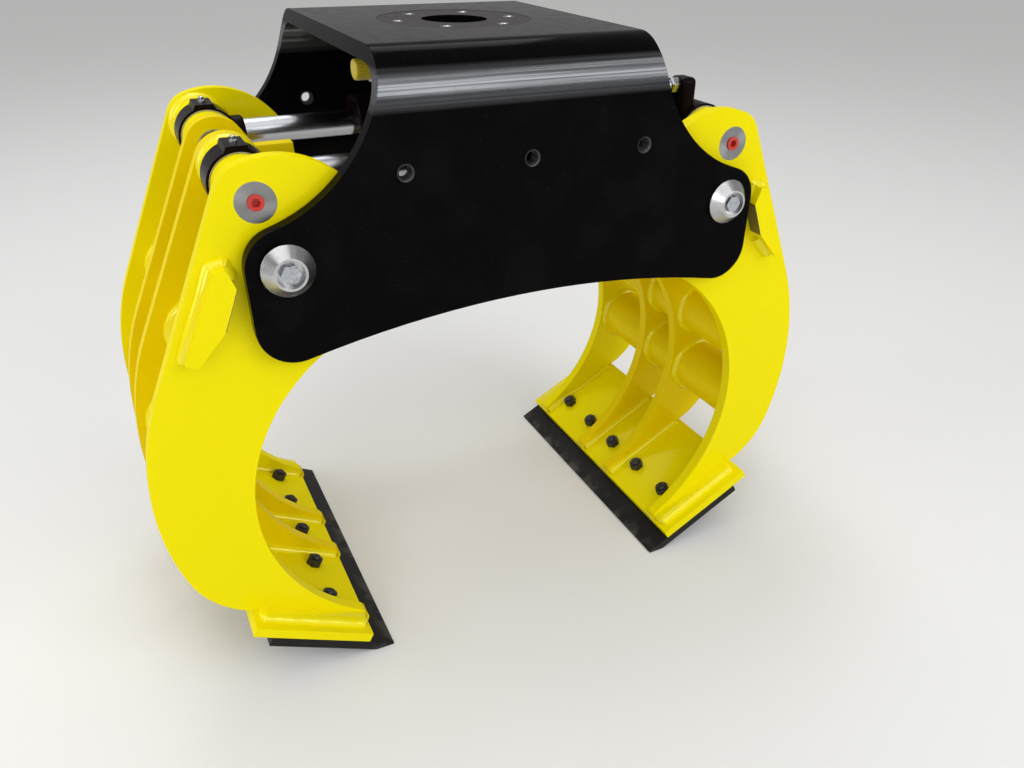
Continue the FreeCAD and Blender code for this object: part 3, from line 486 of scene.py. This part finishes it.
def chrome():
    """Hard chrome for the rods."""
    f = Finish("hard_chrome", metallic=1.0, anisotropic=0.85, anisotropic_rotation=0.25)
    smear = f.noise(22.0, 4.0, f.scaled((0.25, 1.0, 1.0)))
    f.to("Base Color", f.mix(f.ramp(smear, 0.45, 0.8), *CHROME_GREYS))
    f.to("Roughness", f.ramp(smear, 0.3, 0.8, 0.20, 0.26))
    along = f.node("CombineXYZ")
    along.inputs[0].default_value = 1.0
    f.to("Tangent", along.outputs[0])
    f.surface(f.noise(700.0, 2.0, f.scaled((1.0, 0.15, 0.15))), 0.03, 0.0001)
    return f.material


def zinc():
    """Zinc plating with fine spangle."""
    f = Finish("zinc", metallic=1.0)
    _, tint, gloss = f.cells(260.0)
    f.to("Base Color", f.mix(tint, *ZINC_GREYS))
    f.to("Roughness", f.ramp(gloss, 0.0, 1.0, 0.20, 0.40))
    f.surface(f.noise(500.0, 2.0), 0.10, 0.0003, edge=0.0007)
    return f.material


def plain_steel():
    """Plain machined steel for bushes, rings and shims."""
    f = Finish("plain_steel", metallic=1.0)
    f.to("Base Color", f.mix(f.noise(50.0, 4.0), *STEEL_GREYS))
    f.to("Roughness", f.ramp(f.noise(90.0, 3.0), 0.3, 0.7, 0.26, 0.42))
    f.surface(f.noise(600.0, 2.0), 0.06, 0.0002, edge=0.0005)
    return f.material


def black_oxide():
    """Dark fasteners, and the threads of the side holes, where the dark colour is painted shade."""
    f = Finish("black_oxide", metallic=0.6)
    f.to("Base Color", f.mix(f.noise(80.0, 4.0), *OXIDE_BLACKS))
    f.to("Roughness", f.ramp(f.noise(120.0, 3.0), 0.3, 0.7, 0.28, 0.46))
    f.surface(f.noise(520.0, 2.0), 0.15, 0.0003, edge=0.0009)
    return f.material


# %% [markdown]
# ### Plastics
# The plugs in the pin heads and the dust cap are moulded in coloured plastic. It has a fine grain
# and a faint skin, which a little clear coat gives.

# %% Plastics
PLUG_REDS = ((0.62, 0.035, 0.02, 1), (0.48, 0.02, 0.012, 1))
CAP_YELLOWS = ((0.62, 0.50, 0.03, 1), (0.50, 0.38, 0.02, 1))


def plastic(name, shades):
    """Moulded plastic that drifts between two shades."""
    f = Finish(name, coat_weight=0.1)
    f.to("Base Color", f.mix(f.noise(60.0, 3.0), *shades))
    f.to("Roughness", f.ramp(f.noise(150.0, 3.0), 0.3, 0.7, 0.30, 0.44))
    f.surface(f.noise(650.0, 2.0), 0.10, 0.0002, edge=0.0006)
    return f.material


# %% [markdown]
# ## Dress the CAD nodes
# The record names a material slot for each node, so one table from slot to finish dresses them all.
# Lathe rings have to run round their own axis. The pins of the two jaws lie on different axes, so
# each side has its own finish. The cones share one, whose rings run round the middle of the yoke.

# %% Dress the CAD nodes
LIGHT_COAT = 0.12
FULL_COAT = 1.0
YELLOW_PAINT = jaw_yellow("jaw_yellow", LIGHT_COAT)
INNER_PAINTED_SHADE = jaw_yellow("inner_yellow_painted_shade", LIGHT_COAT, YELLOW_PAINTED_SHADE)
WELD_PAINT = jaw_yellow("weld_yellow", FULL_COAT)
LUG_PAINT = jaw_yellow("lug_yellow", LIGHT_COAT, lug=True)
ZINC = zinc()
STEEL = plain_steel()
OXIDE_AND_HOLE_SHADE = black_oxide()
SATIN = satin_black()
finishes = {
    "yoke_black": yoke_black(),
    "jaw_yellow": YELLOW_PAINT,
    "blade_black": blade_black(),
    "cylinder_black": SATIN,
    "rod_chrome": chrome(),
    "zinc_steel": ZINC,
    "bush_steel": STEEL,
    "dark_fastener": OXIDE_AND_HOLE_SHADE,
    "plug_red": plastic("red_plug", PLUG_REDS),
    "cap_yellow": plastic("cap_yellow", CAP_YELLOWS),
}
pin_steel = {}
for side, sign in (("left", -1), ("right", 1)):
    name = side + "_pin_face"
    pin_steel[side] = turned_steel(name, sign * PIN.x, PIN.z, PIN_GREY, 0.30, 900.0)
cone_steel = turned_steel("cone_face", 0.0, PIVOT.z, CONE_GREY, 0.20, 700.0)


def dress(node, finish):
    """Put one finish on a CAD node."""
    slots = frame["nodes"][node].data.materials
    slots.clear()
    slots.append(finish)


for part in frame["record"]["subparts"]:
    node, slot = part["node"], part["material_slot"]
    if slot == "pin_steel":
        dress(node, pin_steel["left" if node.startswith("left") else "right"])
    elif slot == "cone_steel":
        dress(node, cone_steel)
    elif node.endswith("stop_lugs"):
        dress(node, LUG_PAINT)
    # Inner tines and tubes get the deeper yellow of painted shade.
    elif "inner_tine" in node or "tube" in node:
        dress(node, INNER_PAINTED_SHADE)
    else:
        dress(node, finishes[slot])

# %% [markdown]
# ## Pieces made with bmesh
# Each detail is one small operator recipe: a profile that is spun or swept. A piece made for the
# right jaw is copied and mirrored for the left one. Mirroring turns faces inwards, so they are
# reversed, and the normals are worked out afresh once all parts of a piece are joined.

# %% Piece helpers
MERGE_WITHIN = 1e-6
SHARP_FROM = math.radians(40)
TO_LEFT = (-1, 1, 1)
TO_REAR = (1, -1, 1)
IMAGES = 4


def finish_piece(name, bm, finish, body):
    """Turn a bmesh into an object that rides on a body, with its faces outwards."""
    bmesh.ops.remove_doubles(bm, verts=bm.verts, dist=MERGE_WITHIN)
    bmesh.ops.recalc_face_normals(bm, faces=bm.faces)
    for face in bm.faces:
        face.smooth = True
    mesh = bpy.data.meshes.new(name)
    bm.to_mesh(mesh)
    bm.free()
    mesh.set_sharp_from_angle(angle=SHARP_FROM)
    mesh.materials.append(finish)
    piece = bpy.data.objects.new(name, mesh)
    bpy.context.scene.collection.objects.link(piece)
    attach(piece, body)
    return piece


def mirrored(bm, factors):
    """Copy of a bmesh across a middle plane, TO_LEFT or TO_REAR."""
    copy = bm.copy()
    bmesh.ops.scale(copy, vec=factors, verts=copy.verts)
    bmesh.ops.reverse_faces(copy, faces=copy.faces)
    return copy


def joined(parts):
    """One bmesh from several."""
    whole = bmesh.new()
    for part in parts:
        mesh = bpy.data.meshes.new("part")
        part.to_mesh(mesh)
        whole.from_mesh(mesh)
        bpy.data.meshes.remove(mesh)
        part.free()
    return whole


def with_rear(bm):
    """A bmesh together with its image at the rear."""
    return joined([mirrored(bm, TO_REAR), bm])


def jaw_piece(name, bm, finish):
    """The same piece on both jaws."""
    left = mirrored(bm, TO_LEFT)
    finish_piece("right_" + name, bm, finish, "right_jaw")
    finish_piece("left_" + name, left, finish, "left_jaw")


def lathe(profile, centre, axis, steps=48):
    """Spin a closed profile of (radius, height) points round an axis through centre."""
    bm = bmesh.new()
    axis = Vector(axis)
    side = axis.orthogonal().normalized()
    verts = [bm.verts.new(Vector(centre) + side * r + axis * h) for r, h in profile]
    edges = [bm.edges.new(pair) for pair in zip(verts, verts[1:] + verts[:1])]
    bmesh.ops.spin(bm, geom=verts + edges, cent=centre, axis=axis, angle=2 * math.pi,
                   steps=steps, use_merge=True)
    return bm


# %% [markdown]
# ### Weld beads
# Thick plate is joined by fillet welds with a slightly full, rounded face. A bead has a corner,
# two legs along the plates and a bulging face between them. Round joints spin that section.
# Straight joints sweep it: the edge loop is extruded, moved to the next station and closed.

# %% Weld section
BEAD_SINK = 0.0006
BEAD_FACE_STEPS = 7
BEAD_BULGE = 0.16
BEAD_ROOT = -0.06


def bead_section(fullness=BEAD_BULGE):
    """Section with unit legs: from the first leg's end round the full face to the second's."""
    points = []
    for k in range(BEAD_FACE_STEPS + 1):
        t = k / BEAD_FACE_STEPS
        bulge = fullness * math.sin(math.pi * t)
        points.append((1 - t + bulge, t + bulge))
    return points


def round_bead(centre, radius, y, way, out_leg, up_leg):
    """Bead round a tube along Y, on the plate face at y that looks the given way."""
    face = [(radius + u * out_leg, way * v * up_leg) for u, v in bead_section()]
    root = (radius - BEAD_SINK, -way * BEAD_SINK)
    profile = [(face[0][0], root[1])] + face + [(root[0], face[-1][1]), root]
    return lathe(profile, (centre[0], y, centre[1]), ALONG_Y)


def swept_bead(stations, fullness=BEAD_BULGE):
    """Bead through stations of (corner point, first leg, second leg), legs as full vectors."""
    frames = []
    for corner, out, up in stations:
        columns = (out, up, out.cross(up).normalized(), corner)
        rows = [[column[row] for column in columns] for row in range(3)]
        frames.append(Matrix(rows + [[0, 0, 0, 1]]))
    root = [(BEAD_ROOT, 1), (BEAD_ROOT, BEAD_ROOT)]
    section = [(1, BEAD_ROOT)] + bead_section(fullness) + root
    bm = bmesh.new()
    verts = [bm.verts.new(frames[0] @ Vector((u, v, 0))) for u, v in section]
    edges = [bm.edges.new(pair) for pair in zip(verts, verts[1:] + verts[:1])]
    bmesh.ops.contextual_create(bm, geom=edges)
    for before, after in zip(frames, frames[1:]):
        made = bmesh.ops.extrude_edge_only(bm, edges=edges)["geom"]
        fresh = [g for g in made if isinstance(g, bmesh.types.BMVert)]
        edges = [g for g in made if isinstance(g, bmesh.types.BMEdge)
                 and all(v in fresh for v in g.verts)]
        bmesh.ops.transform(bm, matrix=after @ before.inverted(), verts=fresh)
    bmesh.ops.contextual_create(bm, geom=edges)
    return bm


# %% [markdown]
# ### Beads along the carrier
# The tines stand on the carrier plate, with the heaviest bead outside the outer tines. A bead laid
# by hand never keeps one size, so its legs drift a little with two waves, and both its ends are
# drawn in. At the toe, a short bead runs across each tine and hangs over the edge of the plate.

# %% Beads along the carrier
SLOPE = math.radians(28.3)
CARRIER_PLATE = 0.016
HEEL = Vector((PIVOT.x + 0.1337, 0, PIVOT.z - 0.5565))
TO_TOE = Vector((-math.cos(SLOPE), 0, -math.sin(SLOPE)))
OFF_PLATE = Vector((-math.sin(SLOPE), 0, math.cos(SLOPE)))
PLATE_TOP = HEEL + OFF_PLATE * CARRIER_PLATE
OUTER_FACE = -0.232
OUTER_INSIDE = -0.212
INNER_FACE = -0.062
INNER_BACK = -0.042
BEAD_ENDS = (0.006, 0.1905)
BEAD_STEPS = 44
DRAWN_IN = 0.8
THINNEST = 0.05
CARRIER_DRIFT = 0.012
DRIFT_WAVES = ((137.0, 0.0, 1.0), (311.0, 1.3, 0.6))


def wander(place, share):
    """Small even drift in the size of a hand-laid bead."""
    return 1 + share * sum(size * math.sin(rate * place + start)
                           for rate, start, size in DRIFT_WAVES)


def carrier_bead(y, way, leg, width=1.0, fullness=BEAD_BULGE):
    """Bead along one face of a tine, rounded off at both ends."""
    start, end = BEAD_ENDS
    stations = []
    for k in range(BEAD_STEPS + 1):
        t = k / BEAD_STEPS
        near_end = min(t, 1 - t) * (end - start) / (DRAWN_IN * leg)
        swell = math.sqrt(max(1 - max(1 - near_end, 0) ** 2, THINNEST))
        size = leg * swell * wander(start + t * end, CARRIER_DRIFT)
        corner = PLATE_TOP + TO_TOE * (start + (end - start) * t) + Vector((0, y, 0))
        stations.append((corner, Vector((0, way * size * width, 0)), OFF_PLATE * size))
    return swept_bead(stations, fullness=fullness)


foot_beads = [carrier_bead(OUTER_FACE, -1, 0.0120, width=2.3, fullness=0.30),
              carrier_bead(OUTER_INSIDE, 1, 0.009),
              carrier_bead(INNER_FACE, -1, 0.0095),
              carrier_bead(INNER_BACK, 1, 0.0095)]

# %% Beads across the toes
NOSE_PLACE = 0.1922
NOSE_LEGS = (0.0042, 0.0105)
NOSE_STEPS = 8
NOSE_SPANS = ((-0.238, -0.208), (-0.066, -0.038))


def nose_bead(y_from, y_to):
    """Bead across the toe of a tine, drawn down over the edge of the carrier."""
    over, up = NOSE_LEGS
    stations = []
    for k in range(NOSE_STEPS + 1):
        y = y_from + (y_to - y_from) * k / NOSE_STEPS
        corner = PLATE_TOP + TO_TOE * NOSE_PLACE + Vector((0, y, 0))
        stations.append((corner, TO_TOE * over, OFF_PLATE * up))
    return swept_bead(stations)


foot_beads += [nose_bead(*span) for span in NOSE_SPANS]
jaw_piece("foot_welds", with_rear(joined(foot_beads)), WELD_PAINT)
print("carrier beads", len(foot_beads) * IMAGES)

# %% [markdown]
# ### Beads round tubes and bosses
# Smaller rings tie the cross tubes and the pivot tube to both faces of the inner tines and to the
# inside of the outer ones. The bosses at the cylinder pins get two rings of their own.

# %% Beads round the tubes
CROSS_TUBES = ((0.0927, -0.150), (0.1457, -0.284), (0.1497, -0.414))
CROSS_TUBE_R = 0.0508
PIVOT_TUBE_R = 0.035
RING_LEG = 0.008
RING_FACES = ((OUTER_INSIDE, 1), (INNER_FACE, -1), (INNER_BACK, 1))
tubes = [(dx, dz, CROSS_TUBE_R) for dx, dz in CROSS_TUBES] + [(0, 0, PIVOT_TUBE_R)]
rings = []
for dx, dz, radius in tubes:
    centre = (PIVOT.x + dx, PIVOT.z + dz)
    for y, way in RING_FACES:
        rings.append(round_bead(centre, radius, y, way, RING_LEG, RING_LEG))
jaw_piece("tube_welds", with_rear(joined(rings)), WELD_PAINT)
print("tube beads", len(rings) * IMAGES)

# %% Beads round the bosses
BOSS_R = 0.039
BOSS_UP_LEG = 0.010
BOSS_RINGS = ((OUTER_INSIDE, 1, 0.008), (INNER_FACE, -1, 0.0045))
bosses = [round_bead((PIN.x, PIN.z), BOSS_R, y, way, out_leg, BOSS_UP_LEG)
          for y, way, out_leg in BOSS_RINGS]
jaw_piece("boss_welds", with_rear(joined(bosses)), WELD_PAINT)
print("boss beads", len(bosses) * IMAGES)

# %% [markdown]
# ### Bead round the stop lug
# The lug is a thick block on the outer tine. Its outline comes from the corners of the CAD piece.
# The bead follows it, and fans round each corner in small steps so that it stays full there. It
# stops short of the seat, which has to meet the edge of the yoke bare.

# %% Bead round the stop lug
LUG_LEG = 0.0095
LUG_RISE = 1.2
LUG_DRIFT = 0.05
LUG_STOPS = (0.3, 0.5, 0.7)
FAN_STEPS = 4
FAN_DRIFT_STEP = 0.2
SAME_PLANE = 1e-5


def lug_outline():
    """Corners of the front right lug on its outer face, in order round the middle."""
    spots = [v.co for v in frame["nodes"]["right_stop_lugs"].data.vertices]
    front = min(spot.y for spot in spots)
    corners = {(round(spot.x, 5), round(spot.z, 5)) for spot in spots
               if spot.y < front + SAME_PLANE}
    middle = [sum(c[i] for c in corners) / len(corners) for i in (0, 1)]
    return sorted(corners, key=lambda c: math.atan2(c[1] - middle[1], c[0] - middle[0]))


def lug_station(corner, lean, place):
    """One station of the bead: its root, and legs of a size that drifts from place to place."""
    size = LUG_LEG * wander(place, LUG_DRIFT)
    return (corner, lean * size, Vector((0, -size * LUG_RISE, 0)))


outline = [Vector((x, OUTER_FACE, z)) for x, z in lug_outline()]
outward = []
for here, after in zip(outline, outline[1:] + outline[:1]):
    along = (after - here).normalized()
    outward.append(Vector((along.z, 0, -along.x)))
count = len(outline)
facing = [way.x * SEAT_NORMAL[0] + way.z * SEAT_NORMAL[1] for way in outward]
seat = facing.index(min(facing))
stations = []
for k in [(seat + 1 + i) % count for i in range(count - 1)]:
    here, far, way = outline[k], outline[(k + 1) % count], outward[k]
    if stations:
        for step in range(FAN_STEPS + 1):
            lean = outward[k - 1].slerp(way, step / FAN_STEPS)
            stations.append(lug_station(here, lean, k + FAN_DRIFT_STEP * step))
    for t in LUG_STOPS:
        stations.append(lug_station(here.lerp(far, t), way, k + t))
jaw_piece("lug_welds", with_rear(swept_bead(stations)), WELD_PAINT)
print("lug corners", count)

# %% [markdown]
# ### Grease nipples
# Each rod eye is greased through a nipple on its top. It is a turned piece a few millimetres high,
# with a waist and a round head, so one profile is spun round the vertical.

# %% Grease nipples
UPRIGHT = (0, 0, 1)
NIPPLE = [(0, -0.001), (0.0050, -0.001), (0.0050, 0.0020), (0.0040, 0.0026),
          (0.0028, 0.0030), (0.0028, 0.0046), (0.0038, 0.0054), (0.0040, 0.0064),
          (0.0030, 0.0074), (0.0014, 0.0078), (0, 0.0078)]
for end in ("front", "rear"):
    pin = joints[end + "_rod_pin"]
    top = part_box(end + "_rod_eye")[1].z
    nipple = lathe(NIPPLE, (pin.x, pin.y, top), UPRIGHT, steps=20)
    finish_piece(end + "_nipple", nipple, ZINC, end + "_rod")
print("nipple height", NIPPLE[-1][1])

# %% [markdown]
# ### Shims
# A thin bright washer keeps each cylinder eye off the welded boss. It shows as one fine line
# between black and yellow.

# %% Shims
EYE_HALF = 0.025
SHIM = [(0.0215, 0.0001), (0.0408, 0.0001), (0.0408, 0.0009), (0.0215, 0.0009)]
shims = []
for way in (-1, 1):
    face = (PIN.x, PIN.y + way * EYE_HALF, PIN.z)
    shims.append(lathe([(r, way * h) for r, h in SHIM], face, ALONG_Y, steps=64))
jaw_piece("shims", with_rear(joined(shims)), STEEL)
print("shims", len(shims) * IMAGES)

# %% [markdown]
# ### Threads
# The side holes are tapped. A zigzag sleeve just inside the drilled wall gives the look of the
# thread for little work, because at this size nobody can tell a ring from a turn of a helix. It gets
# the dark black-oxide finish, as painted shade inside the holes.

# %% Threads
THREAD_PITCH = 0.0025
THREAD_DEPTH = 0.0007
THREAD_ROOT = 0.0001
HOLE_R = 0.00872
HOLE_MOUTH = 0.2555
HOLE_END = 0.2380
crests = int((HOLE_MOUTH - HOLE_END) / THREAD_PITCH)
zigzag = []
for k in range(crests):
    h = k * THREAD_PITCH
    zigzag += [(HOLE_R - THREAD_ROOT, h), (HOLE_R - THREAD_DEPTH, h + 0.5 * THREAD_PITCH)]
thread_length = crests * THREAD_PITCH
zigzag += [(HOLE_R - THREAD_ROOT, thread_length), (HOLE_R, thread_length), (HOLE_R, 0)]
sleeves = [lathe(zigzag, (x, -HOLE_MOUTH, HOLE_HEIGHT), ALONG_Y, steps=32)
           for x in (-HOLE_PITCH, 0, HOLE_PITCH)]
# The dark finish on the threads is painted shade inside the holes.
finish_piece("side_threads", with_rear(joined(sleeves)), OXIDE_AND_HOLE_SHADE, "yoke")
print("thread crests", crests)

# %% [markdown]
# ### Flange inserts
# The six bolt holes of the rotator flange show a bright ring each. A zinc sleeve lines the hole,
# with a small countersink at its mouth that catches the light.

# %% Flange inserts
FLANGE_BOLTS = 6
BOLT_CIRCLE_R = 0.0865
INSERT = [(0.0069, -0.016), (0.0084, -0.016), (0.0084, -0.0006), (0.0081, -0.0006),
          (0.0069, -0.0018)]
inserts = []
for k in range(FLANGE_BOLTS):
    angle = math.radians(360 * k / FLANGE_BOLTS)
    spot = (BOLT_CIRCLE_R * math.cos(angle), BOLT_CIRCLE_R * math.sin(angle), FLANGE_TOP)
    inserts.append(lathe(INSERT, spot, UPRIGHT, steps=32))
finish_piece("flange_inserts", joined(inserts), ZINC, "yoke")
print("flange inserts", FLANGE_BOLTS)

# %% [markdown]
# ### Cylinder ports
# The oil port is a rounded block on each barrel, and a zinc adaptor comes out of it towards the
# yoke. Both stand for the plainer solids of the CAD and keep to the room those solids take up.

# %% Cylinder ports
PORT_SIZE = (0.0275, 0.038, 0.057)
PORT_ROUND = 0.008
ADAPTOR_SINK = 0.001
TOWARDS_YOKE = (-1, 0, 0)
block_low, block_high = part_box("front_port_block")
fitting_low, fitting_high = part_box("front_port_fitting")
block_y = (block_low.y + block_high.y) / 2
fitting_z = (fitting_low.z + fitting_high.z) / 2
PORT = Vector((block_high.x - PORT_SIZE[0] / 2, block_y, block_low.z + PORT_SIZE[2] / 2))
ADAPTOR = Vector((block_high.x - PORT_SIZE[0] + ADAPTOR_SINK, block_y, fitting_z))
NECK_END = ADAPTOR.x - fitting_low.x
HEXAGON = [(0.004, 0), (0.0118, 0), (0.0126, 0.0012), (0.0126, 0.0130), (0.0118, 0.0142),
           (0.004, 0.0142)]
NECK = [(0.004, 0.0140), (0.0088, 0.0140), (0.0088, NECK_END - 0.001), (0.0078, NECK_END),
        (0.004, NECK_END)]


def port_block():
    """A box with well rounded edges on the front barrel."""
    bm = bmesh.new()
    bmesh.ops.create_cube(bm, size=1.0)
    bmesh.ops.scale(bm, vec=PORT_SIZE, verts=bm.verts)
    bmesh.ops.translate(bm, vec=PORT, verts=bm.verts)
    bmesh.ops.bevel(bm, geom=bm.edges[:], offset=PORT_ROUND, offset_type="OFFSET", segments=4,
                    profile=0.5, affect="EDGES", material=-1)
    return bm


def adaptor():
    """A hexagon, spun in six steps, and the round neck that leaves it."""
    return joined([lathe(HEXAGON, ADAPTOR, TOWARDS_YOKE, steps=6),
                   lathe(NECK, ADAPTOR, TOWARDS_YOKE, steps=32)])


for side in ("front", "rear"):
    block, hexagon = port_block(), adaptor()
    if side == "rear":
        block, hexagon = mirrored(block, TO_REAR), mirrored(hexagon, TO_REAR)
    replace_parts(finish_piece(side + "_port", block, SATIN, side + "_barrel"),
                side + "_port_block")
    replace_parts(finish_piece(side + "_adaptor", hexagon, ZINC, side + "_barrel"),
                side + "_port_fitting")
print("port", [round(v, 4) for v in PORT], "adaptor", [round(v, 4) for v in ADAPTOR])

# %% [markdown]
# ## Sizes
# A helper turns the two corners of a box into plain lists of numbers.


# %% Corners of a box
def corners(pair):
    return [[float(v) for v in corner] for corner in pair]
